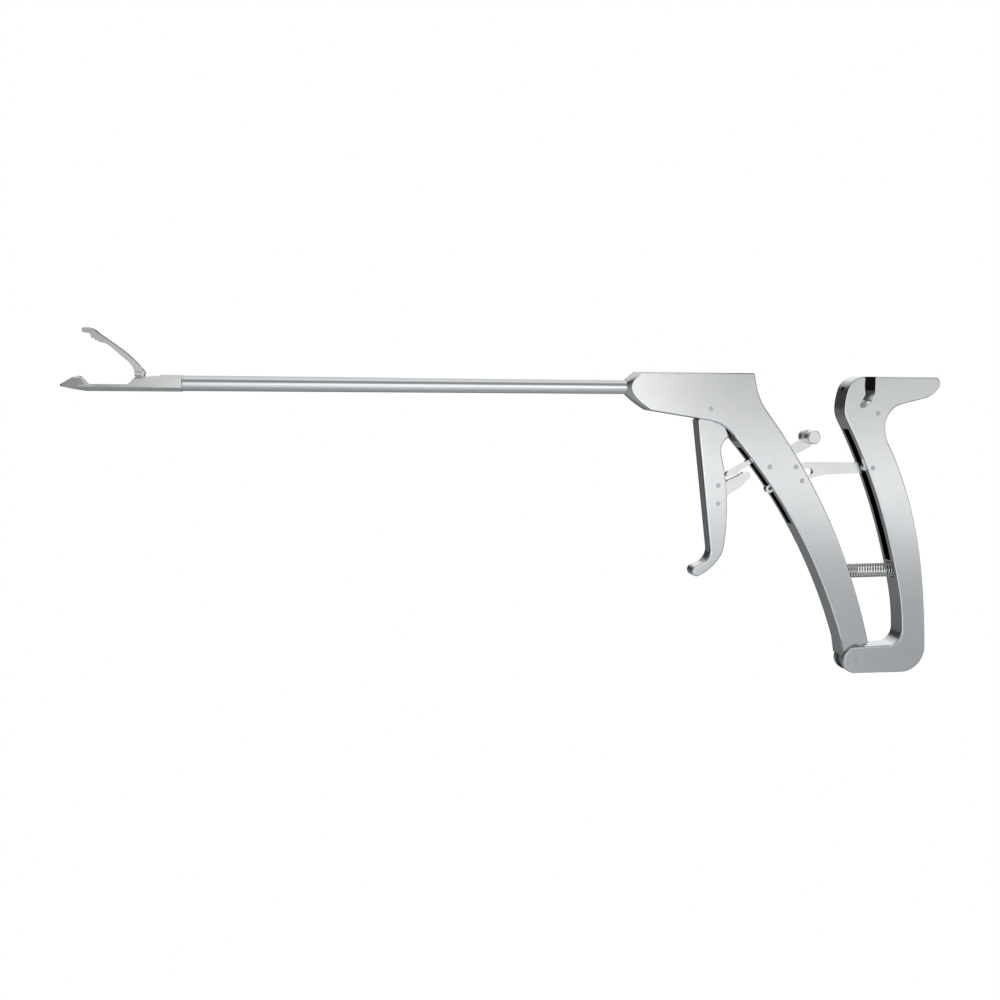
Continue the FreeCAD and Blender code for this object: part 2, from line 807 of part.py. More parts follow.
def link_bar():
    """The flat link with an eye on the lever and a notch that closes on the stop stud."""
    low = link_offset
    high = link_offset + link_thickness
    x, z = link_pin_at
    notch_middle = stop_stud_centre[1] + 0.2
    top = -26.2
    start = (x, z + link_eye_radius)
    upper_lip = notch_middle + link_notch_height / 2
    lower_lip = notch_middle - link_notch_height / 2
    centre = link_notch_end - link_notch_height / 2
    steps = [
        (88.6, -26.4),
        (67.6, top),
        (link_front, top - 1.4),
        (link_front, upper_lip),
        (centre, upper_lip),
        (link_notch_end, notch_middle, centre, lower_lip),
        (link_front + 1.2, lower_lip),
        (link_front + 1.2, -31.6),
        (68.0, -32.1),
        (70.4, -32.0),
        (74.5, -31.0, 80.0, -30.6),
        (88.5, -30.3),
        (x, z - link_eye_radius),
        (x + link_eye_radius, z, x, z + link_eye_radius),
    ]
    link = plate(start, steps, low, high)
    return link.cut(centred_pin(link_pin_at, pin_radius + running_gap, 6))


def link_spacer():
    """The ring that keeps the link on its side of the groove."""
    low = -groove_width / 2
    high = link_offset - side_gap / 2
    ring = cross_pin(link_pin_at, 1.7, low, high)
    return ring.cut(cross_pin(link_pin_at, pin_radius, low - 1, high + 1))


def return_spring():
    """The compression spring between leg and lever, as a sleeve of its true bore and outside."""
    first = spring_start
    last = spring_end
    outer = rod_along(first, last, spring_radius, 0, spring_height)
    return outer.cut(rod_along(first - 1, last + 1, spring_radius - spring_wire, 0, spring_height))


def spring_guide():
    """The guide pin inside the spring, seated in the leg."""
    return rod_along(spring_start, spring_start + guide_pin_length, guide_pin_radius, 0, spring_height)


def write_parts():
    full = body_thickness
    pieces = {
        "grip_body": grip_body(),
        "shaft_tube": shaft_tube(),
        "needle_guide": needle_guide(),
        "needle_port": needle_port(),
        "guide_spacers": guide_spacers(),
        "lower_jaw": lower_jaw(),
        "jaw_pivot_pins": jaw_pivot_pins(),
        "upper_jaw": upper_jaw(),
        "jaw_rod": jaw_rod(),
        "rod_front_pin": rod_front_pin(),
        "rod_drive_pin": rod_drive_pin(),
        "trigger": trigger(),
        "trigger_pin": centred_pin(trigger_pivot, pin_radius, full),
        "ratchet_rack": ratchet_rack(),
        "rack_rivets": rack_rivets(),
        "release_lever": release_lever(),
        "release_pin": centred_pin(release_pivot, pin_radius, full),
        "thumb_knob": thumb_knob(),
        "stop_plate": stop_plate(),
        "stop_plate_rivets": stop_plate_rivets(),
        "stroke_stop_stud": stroke_stop_stud(),
        "rear_lever": rear_lever(),
        "lever_pivot_pin": centred_pin(lever_pivot, pin_radius, full),
        "needle_seat": needle_seat(),
        "needle_seat_pin": centred_pin(seat_pin_at, pin_radius, full),
        "link_bar": link_bar(),
        "link_pin": centred_pin(link_pin_at, pin_radius, full),
        "link_spacer": link_spacer(),
        "return_spring": return_spring(),
        "spring_guide": spring_guide(),
    }
    os.makedirs("parts", exist_ok=True)
    for name, shape in pieces.items():
        box = shape.BoundBox
        print(name, len(shape.Solids), "solids", round(shape.Volume, 1), "mm3 valid", shape.isValid(),
              "x %.1f %.1f z %.1f %.1f" % (box.XMin, box.XMax, box.ZMin, box.ZMax))
        shape.exportStep("parts/" + name + ".step")
    print("trigger", round(trigger_swing, 3), "rod", round(rod_travel, 4), "jaw", round(jaw_swing, 3))


write_parts()
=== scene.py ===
# %% [markdown]
# # An arthroscopic suture passer in satin steel
# The instrument is a slim tube with a hinged jaw at its tip and a flat, machined handle.
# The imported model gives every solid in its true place, in metres, so this notebook dresses it:
# finishes, the coil spring, soft studio light and a camera at the photograph's place.

# %% Load the frame
import math
import bpy
import bmesh
from mathutils import Matrix, Vector


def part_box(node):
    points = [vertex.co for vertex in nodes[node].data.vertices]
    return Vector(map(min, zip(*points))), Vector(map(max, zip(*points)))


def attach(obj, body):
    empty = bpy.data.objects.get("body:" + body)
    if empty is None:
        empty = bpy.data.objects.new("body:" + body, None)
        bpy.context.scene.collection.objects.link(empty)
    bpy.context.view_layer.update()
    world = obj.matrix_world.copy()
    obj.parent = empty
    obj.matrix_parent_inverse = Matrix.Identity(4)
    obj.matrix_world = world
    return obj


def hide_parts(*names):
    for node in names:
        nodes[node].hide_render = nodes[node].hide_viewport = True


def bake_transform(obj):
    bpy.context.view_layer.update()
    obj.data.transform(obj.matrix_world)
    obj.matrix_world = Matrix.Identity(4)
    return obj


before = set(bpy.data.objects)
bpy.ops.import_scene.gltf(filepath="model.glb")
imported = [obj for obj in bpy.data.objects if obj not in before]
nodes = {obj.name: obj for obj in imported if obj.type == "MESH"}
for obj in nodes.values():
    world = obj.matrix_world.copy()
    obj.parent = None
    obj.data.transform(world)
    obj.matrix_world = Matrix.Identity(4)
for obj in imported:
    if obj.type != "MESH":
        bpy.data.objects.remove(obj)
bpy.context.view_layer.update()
MM = 0.001

# %% [markdown]
# ## Small helpers for node trees
# Every finish below is a short chain of nodes. A helper that adds a node and links its inputs
# by name or number keeps each chain readable. Sums, products and mixes come up most, so they
# get short names of their own. A Mix node has a pair of inputs for each kind of value.

# %% Node helpers


def add_node(tree, kind, inputs=None, **settings):
    """Adds a node, sets its properties, then fills or links its inputs by name or number."""
    node = tree.nodes.new(kind)
    for name, value in settings.items():
        setattr(node, name, value)
    for name, value in (inputs or {}).items():
        socket = node.inputs[name]
        if isinstance(value, bpy.types.NodeSocket):
            tree.links.new(value, socket)
        else:
            socket.default_value = value
    return node


def math_node(tree, operation, *values):
    """The result of one math node on numbers or sockets."""
    return add_node(tree, "ShaderNodeMath", dict(enumerate(values)), operation=operation).outputs[0]


def times(tree, first, second):
    """The product of two numbers or sockets."""
    return math_node(tree, "MULTIPLY", first, second)


def sum_of(tree, *values):
    """The sum of several numbers or sockets."""
    total = values[0]
    for value in values[1:]:
        total = math_node(tree, "ADD", total, value)
    return total


def ramp(tree, value, low, high, start=0.0, end=1.0, shape="SMOOTHSTEP"):
    """A step from one value to another between two limits, soft unless it is told otherwise."""
    node = add_node(tree, "ShaderNodeMapRange", {"Value": value, "From Min": low, "From Max": high,
                                                 "To Min": start, "To Max": end},
                    interpolation_type=shape)
    return node.outputs[0]


def mix_of(tree, kind, share, first, second):
    """Mixes two numbers, vectors or colours by the second one's share."""
    row = ["FLOAT", "VECTOR", "RGBA"].index(kind)
    inputs = {0: share, 2 + 2 * row: first, 3 + 2 * row: second}
    return add_node(tree, "ShaderNodeMix", inputs, data_type=kind).outputs[row]


def new_finish(name):
    """An empty material with its Principled shader, and the object coordinates for patterns."""
    material = bpy.data.materials.new(name)
    material.use_nodes = True
    tree = material.node_tree
    shader = tree.nodes["Principled BSDF"]
    place = tree.nodes.new("ShaderNodeTexCoord").outputs["Object"]
    return material, tree, shader, place


# %% [markdown]
# ## The grain of steel
# Blasted or brushed steel is never one even grey. Noise in object space makes two patterns:
# broad clouds, which mix two close greys, and a fine grain, which varies the roughness.
# Object coordinates keep the grain fixed to the piece when it moves.

# %% Grain and tones


def grain(tree, place, scale, stretch):
    """Noise in object space, stretched where a finish has a direction."""
    mapped = add_node(tree, "ShaderNodeMapping", {"Vector": place, "Scale": stretch})
    noise = add_node(tree, "ShaderNodeTexNoise", {"Vector": mapped.outputs[0], "Scale": scale,
                                                  "Detail": 2.0, "Roughness": 0.6})
    return noise.outputs["Fac"]


def spread(tree, noise, low, high):
    """Maps a noise's middle range to a range of values."""
    return ramp(tree, noise, low=0.3, high=0.7, start=low, end=high, shape="LINEAR")


def two_colours(tree, share, first, second):
    """Mixes two colours, each a socket or three numbers, by the second one's share."""
    full = [colour if isinstance(colour, bpy.types.NodeSocket) else (*colour, 1)
            for colour in (first, second)]
    return mix_of(tree, "RGBA", share, *full)


# %% [markdown]
# ## The ends of the pins
# Body, trigger and lever carry pins that are ground flush with their flat sides. A softened
# edge round such a pin would show as a ring, which the real one hasn't. Each pin's place is
# measured from its mesh, and the softening fades out there.

# %% Find the pins
flush_pins = ["trigger_pin", "release_pin", "stop_plate_rivets", "lever_pivot_pin", "rack_rivets",
              "needle_seat_pin", "link_pin"]
widest_pin = 3 * MM
pin_margin, pin_margin_end = 0.35 * MM, 0.6 * MM


def pin_ends(mesh):
    """The middle and radius of each separate pin in a mesh, seen from the side."""
    groups = []
    for place in ((vertex.co.x, vertex.co.z) for vertex in mesh.vertices):
        group = next((known for known in groups if math.dist(known[0], place) < widest_pin), None)
        if group is None:
            group = []
            groups.append(group)
        group.append(place)
    found = []
    for group in groups:
        xs, zs = zip(*group)
        found.append(((min(xs) + max(xs)) / 2, (min(zs) + max(zs)) / 2, (max(xs) - min(xs)) / 2))
    return found


pins_seen = [end for name in flush_pins for end in pin_ends(nodes[name].data)]
print("pin ends:", len(pins_seen), "of radius", sorted({round(end[2] / MM, 2) for end in pins_seen}), "mm")


def clear_of_pins(tree, place):
    """One on a plate, falling to zero round the end of each pin."""
    from_side = add_node(tree, "ShaderNodeMapping", {"Vector": place, "Scale": (1, 0, 1)}).outputs[0]
    nearest = None
    for x, z, radius in pins_seen:
        apart = add_node(tree, "ShaderNodeVectorMath", {0: from_side, 1: (x, 0, z)}, operation="DISTANCE")
        beyond = math_node(tree, "SUBTRACT", apart.outputs["Value"], radius)
        nearest = beyond if nearest is None else math_node(tree, "MINIMUM", nearest, beyond)
    return ramp(tree, nearest, pin_margin, pin_margin_end, shape="LINEAR")


# %% [markdown]
# ## Flat sides and milled grooves
# The three plates are milled: their outer sides are flat and bright, and the grooves in their
# edges are so deep and narrow that they lie in black shade, which is painted into their colour.
# One material serves all three, so it has to tell the two apart. A wall that faces away from the
# plate's middle is an outer side, and one that faces the middle is inside a groove. The slot for
# the needle in the lever's head goes right through, so its upper half, painted with the same
# shade, is found by its place.

# %% Outer sides and grooves
head_slot_middle, head_slot_reach, head_slot_floor = 42.45 * MM, 2.3 * MM, -0.5 * MM
edge_on = 0.5
print("needle's slot:", round(head_slot_middle / MM, 2), "mm behind the port")


def in_head_slot(tree, x, z, sideways):
    """One on the upper walls of the needle's slot in the lever's head, where shade is painted."""
    beside = math_node(tree, "ABSOLUTE", math_node(tree, "SUBTRACT", x, head_slot_middle))
    within = times(tree, math_node(tree, "LESS_THAN", beside, head_slot_reach),
                   math_node(tree, "GREATER_THAN", z, head_slot_floor))
    return times(tree, within, math_node(tree, "LESS_THAN", sideways, edge_on))


def plate_shares(tree, place):
    """How far a point lies on a plate's outer flat sides, and how far in a groove's painted shade."""
    facing = tree.nodes.new("ShaderNodeTexCoord").outputs["Normal"]
    facing_y = add_node(tree, "ShaderNodeSeparateXYZ", {0: facing}).outputs["Y"]
    sideways = math_node(tree, "ABSOLUTE", facing_y)
    flat = ramp(tree, sideways, low=0.7, high=0.95, shape="LINEAR")
    x, y, z = add_node(tree, "ShaderNodeSeparateXYZ", {0: place}).outputs
    outward = math_node(tree, "GREATER_THAN", times(tree, facing_y, y), 0.0)
    # Walls that face the plate's middle get painted shade.
    groove_shade_share = times(tree, flat, math_node(tree, "SUBTRACT", 1.0, outward))
    painted_shade_share = math_node(tree, "MAXIMUM", groove_shade_share, in_head_slot(tree, x, z, sideways))
    return times(tree, flat, outward), painted_shade_share


# %% [markdown]
# ## The finishes of the steel
# The flat pieces are glass-bead blasted: a very fine even grain with a soft sheen, and edges
# that polishing has rounded a little, which the Bevel node shades without new geometry. The
# tube is drawn and bright, so its lines run along X. Pins are ground flush and a shade darker,
# and spring wire is smooth and shiny. One maker function takes the greys, the roughness and the
# grain's size, so that all the steels are clearly one family.

# %% Steel finishes
# Painted shade: the near-black colour given to groove walls and the upper walls of the head's slot.
painted_groove_shade = (0.10, 0.10, 0.105)
cloud_scale = 140.0


def steel(name, dark, light, rough, grain_scale, stretch=(1, 1, 1), metallic=1.0):
    """A bare steel between two greys and two roughnesses."""
    material, tree, shader, place = new_finish(name)
    clouds = grain(tree, place, cloud_scale, stretch)
    fine = grain(tree, place, grain_scale, stretch)
    colour = two_colours(tree, spread(tree, clouds, 0.0, 1.0), dark, light)
    tree.links.new(colour, shader.inputs["Base Color"])
    tree.links.new(spread(tree, fine, *rough), shader.inputs["Roughness"])
    shader.inputs["Metallic"].default_value = metallic
    return material


def plate_rounding_and_painted_shade(material, rounding):
    """Rounds the edges of a steel's outer sides by shading, and paints near-black shade in its grooves."""
    tree = material.node_tree
    shader = tree.nodes["Principled BSDF"]
    place = tree.nodes.new("ShaderNodeTexCoord").outputs["Object"]
    bare = shader.inputs["Base Color"].links[0].from_socket
    on_sides, painted_shade_share = plate_shares(tree, place)
    softened = times(tree, on_sides, clear_of_pins(tree, place))
    edge = add_node(tree, "ShaderNodeBevel", {"Radius": rounding}, samples=8)
    plain = tree.nodes.new("ShaderNodeNewGeometry").outputs["Normal"]
    turned = mix_of(tree, "VECTOR", softened, plain, edge.outputs[0])
    tree.links.new(turned, shader.inputs["Normal"])
    # Painted shade: groove walls take the near-black colour in place of the steel's own.
    tree.links.new(two_colours(tree, painted_shade_share, bare, painted_groove_shade), shader.inputs["Base Color"])


# %% Make the steels
blasted_steel = steel("blasted_steel", (0.78, 0.785, 0.79), (0.81, 0.815, 0.82), (0.205, 0.235), 2600.0)
plate_rounding_and_painted_shade(blasted_steel, rounding=0.55 * MM)
drawn_steel = steel("drawn_steel", (0.72, 0.73, 0.74), (0.78, 0.785, 0.79), (0.16, 0.22), 1500.0,
                    stretch=(0.02, 1, 1))
jaw_steel = steel("jaw_steel", (0.70, 0.70, 0.70), (0.75, 0.75, 0.75), (0.22, 0.26), 2200.0)
small_steel = steel("small_steel", (0.79, 0.79, 0.79), (0.84, 0.84, 0.84), (0.22, 0.27), 2400.0)
turned_steel = steel("turned_steel", (0.91, 0.91, 0.91), (0.94, 0.94, 0.94), (0.34, 0.38), 2400.0)
pin_steel = steel("ground_pin_steel", (0.61, 0.621, 0.629), (0.63, 0.641, 0.649), (0.39, 0.41), 2400.0,
                  metallic=0.9)
spring_steel = steel("spring_wire_steel", (0.66, 0.66, 0.66), (0.74, 0.74, 0.74), (0.12, 0.16), 3000.0)
print("plates:", blasted_steel.name, "with", len(blasted_steel.node_tree.nodes), "nodes")

# %% Dress the pieces
dressed_in = [
    (blasted_steel, ["grip_body", "trigger", "rear_lever"]),
    (drawn_steel, ["shaft_tube", "needle_guide", "guide_spacers"]),
    (jaw_steel, ["lower_jaw", "upper_jaw", "jaw_rod", "jaw_pivot_pins", "rod_front_pin"]),
    (turned_steel, ["thumb_knob"]),
    (small_steel, ["ratchet_rack", "release_lever", "stop_plate", "link_bar", "needle_port",
                   "needle_seat", "link_spacer", "spring_guide", "stroke_stop_stud", "rod_drive_pin"]),
    (pin_steel, flush_pins),
    (spring_steel, ["return_spring"]),
]
for finish, names in dressed_in:
    for name in names:
        mesh = nodes[name].data
        mesh.materials.clear()
        mesh.materials.append(finish)
print("finished:", sum(len(names) for finish, names in dressed_in), "of", len(nodes))

# %% [markdown]
# ## Smooth curves and rounded bevels
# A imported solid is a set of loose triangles, and its edges carry a plain bevel. Weld joins the
# triangles. A node tree then shades smooth every edge that turns by less than the given angle.
# It also gives each corner of a bevel the direction of the face next to it, so a bevel catches
# light like the small rounded edge that polishing leaves. The shape stays as it is.

# %% Directions on the bevels
smooth_turn = math.radians(28)
bevel_facing, bevel_tolerance = math.sqrt(0.5), 0.004
weld_distance = 1e-6


def on_domain(tree, value, kind, domain):
    """A value as the faces or the points of the mesh hold it."""
    return add_node(tree, "GeometryNodeFieldOnDomain", {0: value}, data_type=kind, domain=domain).outputs[0]


def bevel_normals(tree):
    """The corner directions: on a bevel those of the faces beside it, elsewhere the plain ones."""
    facing = tree.nodes.new("GeometryNodeInputNormal")
    face_normal = facing.outputs["True Normal"]
    facing_y = add_node(tree, "ShaderNodeSeparateXYZ", {0: face_normal}).outputs["Y"]
    across = math_node(tree, "ABSOLUTE", facing_y)
    bevel = math_node(tree, "COMPARE", across, bevel_facing, bevel_tolerance)
    elsewhere = math_node(tree, "SUBTRACT", 1.0, bevel)
    beside = add_node(tree, "ShaderNodeVectorMath", {0: face_normal, "Scale": elsewhere}, operation="SCALE")
    on_face = on_domain(tree, beside.outputs[0], "FLOAT_VECTOR", "FACE")
    at_corner = on_domain(tree, on_face, "FLOAT_VECTOR", "POINT")
    neighbour = add_node(tree, "ShaderNodeVectorMath", {0: at_corner}, operation="NORMALIZE")
    bevel_share = on_domain(tree, bevel, "FLOAT", "FACE")
    return mix_of(tree, "VECTOR", bevel_share, facing.outputs["Normal"], neighbour.outputs[0])


# %% Shade the solids


def shading_tree():
    """Smooth gentle edges, keep sharp ones, and light the bevels as rounded."""
    tree = bpy.data.node_groups.new("machined_shading", "GeometryNodeTree")
    tree.interface.new_socket("Geometry", in_out="INPUT", socket_type="NodeSocketGeometry")
    angle = tree.interface.new_socket("Turn", in_out="INPUT", socket_type="NodeSocketFloat")
    angle.default_value = smooth_turn
    tree.interface.new_socket("Geometry", in_out="OUTPUT", socket_type="NodeSocketGeometry")
    given = tree.nodes.new("NodeGroupInput")
    turn = tree.nodes.new("GeometryNodeInputMeshEdgeAngle")
    gentle = add_node(tree, "FunctionNodeCompare",
                      {0: turn.outputs["Unsigned Angle"], 1: given.outputs["Turn"]},
                      data_type="FLOAT", operation="LESS_EQUAL")
    faces = add_node(tree, "GeometryNodeSetShadeSmooth",
                     {"Geometry": given.outputs["Geometry"], "Shade Smooth": True}, domain="FACE")
    edges = add_node(tree, "GeometryNodeSetShadeSmooth",
                     {"Geometry": faces.outputs[0], "Shade Smooth": gentle.outputs[0]}, domain="EDGE")
    dressed = add_node(tree, "GeometryNodeSetMeshNormal",
                       {"Mesh": edges.outputs[0], "Custom Normal": bevel_normals(tree)},
                       mode="FREE", domain="CORNER")
    add_node(tree, "NodeGroupOutput", {0: dressed.outputs[0]})
    return tree


machined_shading = shading_tree()
for piece in nodes.values():
    weld = piece.modifiers.new("weld", "WELD")
    weld.merge_threshold = weld_distance
    shade = piece.modifiers.new("shade", "NODES")
    shade.node_group = machined_shading
print("shaded:", len(nodes), "with edges up to", round(math.degrees(smooth_turn)), "degrees smooth")

# %% [markdown]
# ## The flats of the lower jaw
# On the real jaw the round bar is milled to flats: one along each side, and a slanting one above
# and below it, which meet at crisp edges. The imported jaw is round. A copy of its mesh is cut by
# planes through the shaft's axis where the flats meet, and its outer points are then moved out
# to the flats. A short turned step at the rear end sets the jaw off from the shaft.

# %% Measure the jaw
jaw_low, jaw_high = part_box("lower_jaw")
jaw_radius = -jaw_low.z
step_start, step_end = jaw_high.x - 0.45 * MM, jaw_high.x - 0.30 * MM
step_radius_share = 0.935
flats_begin, flats_full = jaw_low.x + 8.0 * MM, jaw_low.x + 10.7 * MM
side_slant = math.radians(55)
quarter, half = math.pi / 2, math.pi
flat_turns = [side_slant, half - side_slant, 0.0, half, quarter]
flat_turns += [-side_slant, side_slant - half, -quarter]
corner_turns = [side_slant / 2, (side_slant + quarter) / 2]
corner_turns += [half - turn for turn in corner_turns]
cut_distance = 1e-7
outside_share = 0.97
side_flat_share = 0.4
crisp_turn = math.radians(25)
print("jaw radius:", round(jaw_radius / MM, 2), "mm, flats at", len(flat_turns), "turns")

# %% Where the outside goes


def moved_to_flats(y, z):
    """Where a point of the round outside comes to lie on the flats."""
    if abs(z) < side_flat_share * jaw_radius:
        return math.copysign(jaw_radius, y), z
    turn = math.atan2(z, y)
    reach = jaw_radius / max(math.cos(turn - flat) for flat in flat_turns)
    return reach * math.cos(turn), reach * math.sin(turn)


def cut_lines(shape, planes):
    """Cuts new edges into a shape where planes pass through it."""
    for point, normal in planes:
        parts = list(shape.verts) + list(shape.edges) + list(shape.faces)
        bmesh.ops.bisect_plane(shape, geom=parts, plane_co=point, plane_no=normal, dist=cut_distance)


# %% Mill the flats


def milled_jaw():
    """A copy of the lower jaw with flats on its outside and a step at its rear end."""
    shape = bmesh.new()
    shape.from_mesh(nodes["lower_jaw"].data)
    bmesh.ops.remove_doubles(shape, verts=shape.verts, dist=weld_distance)
    cut_lines(shape, [((0, 0, 0), (0, -math.sin(turn), math.cos(turn))) for turn in corner_turns])
    cut_lines(shape, [((x, 0, 0), (1, 0, 0)) for x in (step_start, step_end, flats_begin, flats_full)])
    for vert in shape.verts:
        x, y, z = vert.co
        if math.hypot(y, z) < outside_share * jaw_radius:
            continue
        share = min(1.0, max(0.0, (x - flats_begin) / (flats_full - flats_begin)))
        flat_y, flat_z = moved_to_flats(y, z)
        if x > step_end - weld_distance:
            flat_y, flat_z = step_radius_share * y, step_radius_share * z
        vert.co = (x, y + share * (flat_y - y), z + share * (flat_z - z))
    shape.normal_update()
    for face in shape.faces:
        face.smooth = True
    for edge in shape.edges:
        edge.smooth = len(edge.link_faces) == 2 and edge.calc_face_angle(0.0) < crisp_turn
    mesh = bpy.data.meshes.new("lower_jaw_flats")
    shape.to_mesh(mesh)
    shape.free()
    mesh.materials.append(jaw_steel)
    piece = bpy.data.objects.new("lower_jaw_flats", mesh)
    bpy.context.scene.collection.objects.link(piece)
    return piece


milled = milled_jaw()
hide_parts("lower_jaw")
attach(milled, "grip_frame")
print("milled jaw faces:", len(milled.data.polygons))

# %% [markdown]
# ## The return spring
# The spring between the leg and the rear lever is a coil of round wire. A coil follows a
# rule, so Geometry Nodes make it: a spiral curve, swept with a small circle. Each end of the
# coil sits in a well.

# %% Coil the spring
spring_low, spring_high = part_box("return_spring")
spring_axis = (spring_low + spring_high) / 2
outer_radius = (spring_high.z - spring_low.z) / 2
wire_radius = 0.28 * MM
steps_per_turn, sides_of_wire = 24, 12
coil_sizes = {
    "Length": spring_high.x - spring_low.x - 2 * wire_radius,
    "Radius": outer_radius - wire_radius,
    "Wire": wire_radius,
    "Turns": 23.5,
}
print("spring:", {name: round(size, 4) for name, size in coil_sizes.items()})


def spring_tree():
    """A coil of round wire along X, from its length, mean radius, wire radius and turns."""
    tree = bpy.data.node_groups.new("coil_spring", "GeometryNodeTree")
    tree.interface.new_socket("Geometry", in_out="INPUT", socket_type="NodeSocketGeometry")
    for name in coil_sizes:
        tree.interface.new_socket(name, in_out="INPUT", socket_type="NodeSocketFloat")
    tree.interface.new_socket("Wire finish", in_out="INPUT", socket_type="NodeSocketMaterial")
    tree.interface.new_socket("Geometry", in_out="OUTPUT", socket_type="NodeSocketGeometry")
    given = tree.nodes.new("NodeGroupInput").outputs
    spiral = add_node(tree, "GeometryNodeCurveSpiral", {
        "Resolution": steps_per_turn, "Rotations": given["Turns"], "Start Radius": given["Radius"],
        "End Radius": given["Radius"], "Height": given["Length"]})
    laid = add_node(tree, "GeometryNodeTransform", {"Geometry": spiral.outputs[0],
                                                   "Rotation": (0.0, math.pi / 2, 0.0)})
    ring = add_node(tree, "GeometryNodeCurvePrimitiveCircle", {"Resolution": sides_of_wire,
                                                              "Radius": given["Wire"]})
    wire = add_node(tree, "GeometryNodeCurveToMesh", {"Curve": laid.outputs[0], "Fill Caps": True,
                                                     "Profile Curve": ring.outputs[0]})
    smooth = add_node(tree, "GeometryNodeSetShadeSmooth", {"Geometry": wire.outputs[0]})
    real = add_node(tree, "GeometryNodeRealizeInstances", {"Geometry": smooth.outputs[0]})
    done = add_node(tree, "GeometryNodeSetMaterial", {"Geometry": real.outputs[0],
                                                     "Material": given["Wire finish"]})
    add_node(tree, "NodeGroupOutput", {0: done.outputs[0]})
    return tree


def grown(name, tree, values):
    """Evaluates a node tree on an empty mesh and returns the plain mesh object it makes."""
    holder = bpy.data.objects.new(name + "_holder", bpy.data.meshes.new(name + "_holder"))
    bpy.context.scene.collection.objects.link(holder)
    modifier = holder.modifiers.new("grow", "NODES")
    modifier.node_group = tree
    for item in tree.interface.items_tree:
        if item.item_type == "SOCKET" and item.in_out == "INPUT" and item.name in values:
            modifier[item.identifier] = values[item.name]
    bpy.context.view_layer.update()
    mesh = bpy.data.meshes.new_from_object(holder.evaluated_get(bpy.context.evaluated_depsgraph_get()))
    bpy.data.objects.remove(holder)
    piece = bpy.data.objects.new(name, mesh)
    bpy.context.scene.collection.objects.link(piece)
    return piece


# %% Lay the coil in its place
coil = grown("spring_coil", spring_tree(), {**coil_sizes, "Wire finish": spring_steel})
coil.data.transform(Matrix.Translation((spring_low.x + wire_radius, 0, spring_axis.z)))
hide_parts("return_spring")
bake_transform(coil)
print("spring faces:", len(coil.data.polygons))

# %% [markdown]
# ## The studio
# The photograph has a plain white ground and very soft light. Steel shows whatever stands
# round it, so the room is drawn as zones seen from the instrument: a white backdrop behind it,
# a dim grey room in front, a light ceiling, and nearly dark sides. The white backdrop is what
# the camera sees, and mirror rays see it too, but no other ray does, so it adds no light.

# %% Zones and rays


def zone(tree, angle, low, high, soft):
    """1 between two angles in degrees, with soft edges outside them."""
    rise = ramp(tree, angle, math.radians(low - soft), math.radians(low))
    fall = ramp(tree, angle, math.radians(high), math.radians(high + soft), start=1.0, end=0.0)
    return times(tree, rise, fall)


def seen_rays(tree):
    """The camera's rays, and the rays that metal and glass send on."""
    ray = tree.nodes.new("ShaderNodeLightPath").outputs
    onward = math_node(tree, "MAXIMUM", ray["Is Glossy Ray"], ray["Is Transmission Ray"])
    return ray["Is Camera Ray"], onward


# %% Room of soft zones
world = bpy.data.worlds.new("studio")
bpy.context.scene.world = world
world.use_nodes = True
sky = world.node_tree
sky.nodes.clear()

look = sky.nodes.new("ShaderNodeTexCoord").outputs["Generated"]
look_x, look_y, look_z = add_node(sky, "ShaderNodeSeparateXYZ", {0: look}).outputs
behind_turn = math_node(sky, "ARCTAN2", look_x, look_y)
front_turn = math_node(sky, "ARCTAN2", look_x, times(sky, look_y, -1.0))
height_turn = math_node(sky, "ARCSINE", look_z)

backdrop = times(sky, zone(sky, behind_turn, low=8, high=32, soft=8),
                 zone(sky, height_turn, low=-89, high=40, soft=12))
front_level = ramp(sky, height_turn, low=0.0, high=math.radians(40), start=0.37, end=0.28)
front_room = times(sky, zone(sky, front_turn, low=-55, high=58, soft=18), front_level)
right_glow = times(sky, zone(sky, front_turn, low=32, high=58, soft=12),
                   zone(sky, height_turn, low=-7, high=8, soft=8))
ceiling_aim = (0.1, 0.35, 0.93)
under_ceiling = add_node(sky, "ShaderNodeVectorMath", {0: look, 1: ceiling_aim}, operation="DOT_PRODUCT")
ceiling_edge, ceiling_core = math.cos(math.radians(58)), math.cos(math.radians(28))
ceiling = ramp(sky, under_ceiling.outputs["Value"], ceiling_edge, ceiling_core)
side_level, glow_level, ceiling_level = 0.05, 0.28, 0.75
room = sum_of(sky, side_level, front_room, times(sky, right_glow, glow_level),
              times(sky, ceiling, ceiling_level))
print("room nodes:", len(sky.nodes))

# %% Backdrop for the camera and the mirrors
camera_ray, onward_ray = seen_rays(sky)
white_share = times(sky, backdrop, onward_ray)
strength = mix_of(sky, "FLOAT", white_share, room, 1.0)
grey = add_node(sky, "ShaderNodeBackground", {"Color": (0.965, 0.985, 1.0, 1), "Strength": strength})
white = add_node(sky, "ShaderNodeBackground", {"Color": (1, 1, 1, 1), "Strength": 1.0})
both = add_node(sky, "ShaderNodeMixShader", {0: camera_ray, 1: grey.outputs[0], 2: white.outputs[0]})
add_node(sky, "ShaderNodeOutputWorld", {"Surface": both.outputs[0]})
print("studio nodes:", len(sky.nodes))

# %% [markdown]
# ## The floor
# A pale floor lies well below the instrument. The camera sees it as the same white as the
# backdrop. In the steel it shows a bright pool where the front light falls, a grey ground under
# the instrument that is lighter towards the handle, and a darker one towards the backdrop. That
# gives the tube and the lower edges their dark side.

# %% Pale floor
floor_reach, floor_height = 3.0, -0.27
pool_squeeze, pool_middle = (1.5, 1.0, 1.0), (-0.15, -0.80, floor_height)
floor_tint, plain_white = (0.93, 0.975, 1.0), (1, 1, 1)


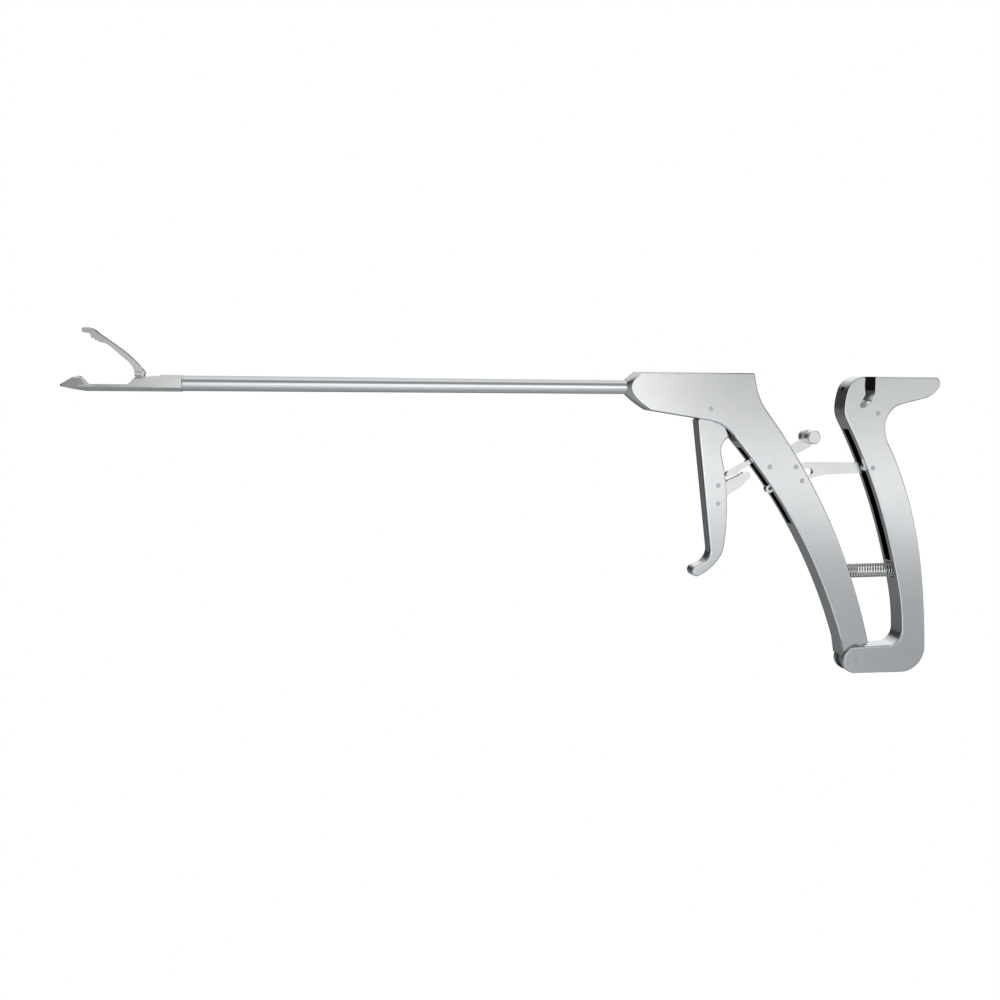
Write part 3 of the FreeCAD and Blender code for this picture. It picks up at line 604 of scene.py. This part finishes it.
def floor_shine(tree, place):
    """How bright each place of the floor looks in the steel."""
    narrow = add_node(tree, "ShaderNodeMapping", {"Vector": place, "Scale": pool_squeeze}).outputs[0]
    spot = add_node(tree, "ShaderNodeVectorMath", {0: narrow, 1: pool_middle}, operation="DISTANCE")
    pool = ramp(tree, spot.outputs["Value"], low=0.25, high=0.85, start=0.62, end=0.0)
    x, y, z = add_node(tree, "ShaderNodeSeparateXYZ", {0: place}).outputs
    near = ramp(tree, y, low=0.10, high=0.32, start=0.26, end=0.05)
    right_side = ramp(tree, x, low=-0.30, high=-0.08, start=0.08, end=0.14)
    return sum_of(tree, near, pool, right_side)


def pale_floor():
    """A large square that is white to the camera, softly lit in mirrors and matt to other rays."""
    mesh = bpy.data.meshes.new("floor")
    signs = [(-1, -1), (1, -1), (1, 1), (-1, 1)]
    corners = [(x * floor_reach, y * floor_reach, floor_height) for x, y in signs]
    mesh.from_pydata(corners, [], [(0, 1, 2, 3)])
    ground = bpy.data.objects.new("floor", mesh)
    bpy.context.scene.collection.objects.link(ground)
    material, tree, shader, place = new_finish("pale_floor")
    shader.inputs["Base Color"].default_value = (0.55, 0.55, 0.55, 1)
    shader.inputs["Roughness"].default_value = 0.9
    camera_ray, onward_ray = seen_rays(tree)
    shine = mix_of(tree, "FLOAT", camera_ray, floor_shine(tree, place), 1.0)
    tint = two_colours(tree, camera_ray, floor_tint, plain_white)
    seen = add_node(tree, "ShaderNodeEmission", {"Color": tint, "Strength": shine})
    either_ray = math_node(tree, "MAXIMUM", camera_ray, onward_ray)
    mixed = add_node(tree, "ShaderNodeMixShader", {0: either_ray, 1: shader.outputs[0], 2: seen.outputs[0]})
    tree.links.new(mixed.outputs[0], tree.nodes["Material Output"].inputs["Surface"])
    mesh.materials.append(material)
    print("floor:", round(-floor_height / MM), "mm below the shaft's axis")


pale_floor()

# %% [markdown]
# ## Two soft boxes
# A broad box in front gives the tube its bright line and the nose its light. A long low strip
# to the right of it lights the upper half of the grip, and leaves the lower half grey.

# %% Soft boxes


def soft_box(name, place, aim, width, height, level):
    """A rectangular lamp whose face shows at the given brightness in polished metal."""
    lamp = bpy.data.lights.new(name, "AREA")
    lamp.shape = "RECTANGLE"
    lamp.size = width
    lamp.size_y = height
    lamp.energy = level * math.pi * width * height
    holder = bpy.data.objects.new(name, lamp)
    holder.location = place
    holder.rotation_euler = (Vector(aim) - Vector(place)).to_track_quat("-Z", "Y").to_euler()
    bpy.context.scene.collection.objects.link(holder)
    print(name, round(lamp.energy, 3), "W")


soft_box("front_box", place=(-0.012, -1.0, 0.02), aim=(-0.012, 0, 0), width=0.69, height=0.56, level=0.82)
soft_box("grip_strip", place=(0.66, -0.95, -0.150), aim=(0, 0, -0.04), width=1.1, height=0.115, level=0.92)

# %% [markdown]
# ## The camera
# The photograph was taken from a little in front of the handle, almost level, with a normal
# lens. The camera's place and turn come from lining up the shaft's edges and the handle's
# corners. Its three directions are written as the columns of a matrix.

# %% Place the camera
camera_place = Vector((-0.14930, -0.31565, 0.00206))
right = Vector((0.98300, -0.18335, 0.00951))
up = Vector((0.01358, 0.12427, 0.99216))
forward = Vector((0.18309, 0.97516, -0.12465))
camera_data = bpy.data.cameras.new("camera")
camera_data.sensor_width = 36.0
camera_data.lens = 34.465
camera_data.clip_start = 0.01
camera = bpy.data.objects.new("camera", camera_data)
camera_turn = Matrix((right, up, -forward)).transposed().to_4x4()
camera.matrix_world = Matrix.Translation(camera_place) @ camera_turn
bpy.context.scene.collection.objects.link(camera)
bpy.context.scene.camera = camera
bpy.context.scene.view_settings.view_transform = "Standard"
print("camera:", round(camera_place.length / MM), "mm from the origin")
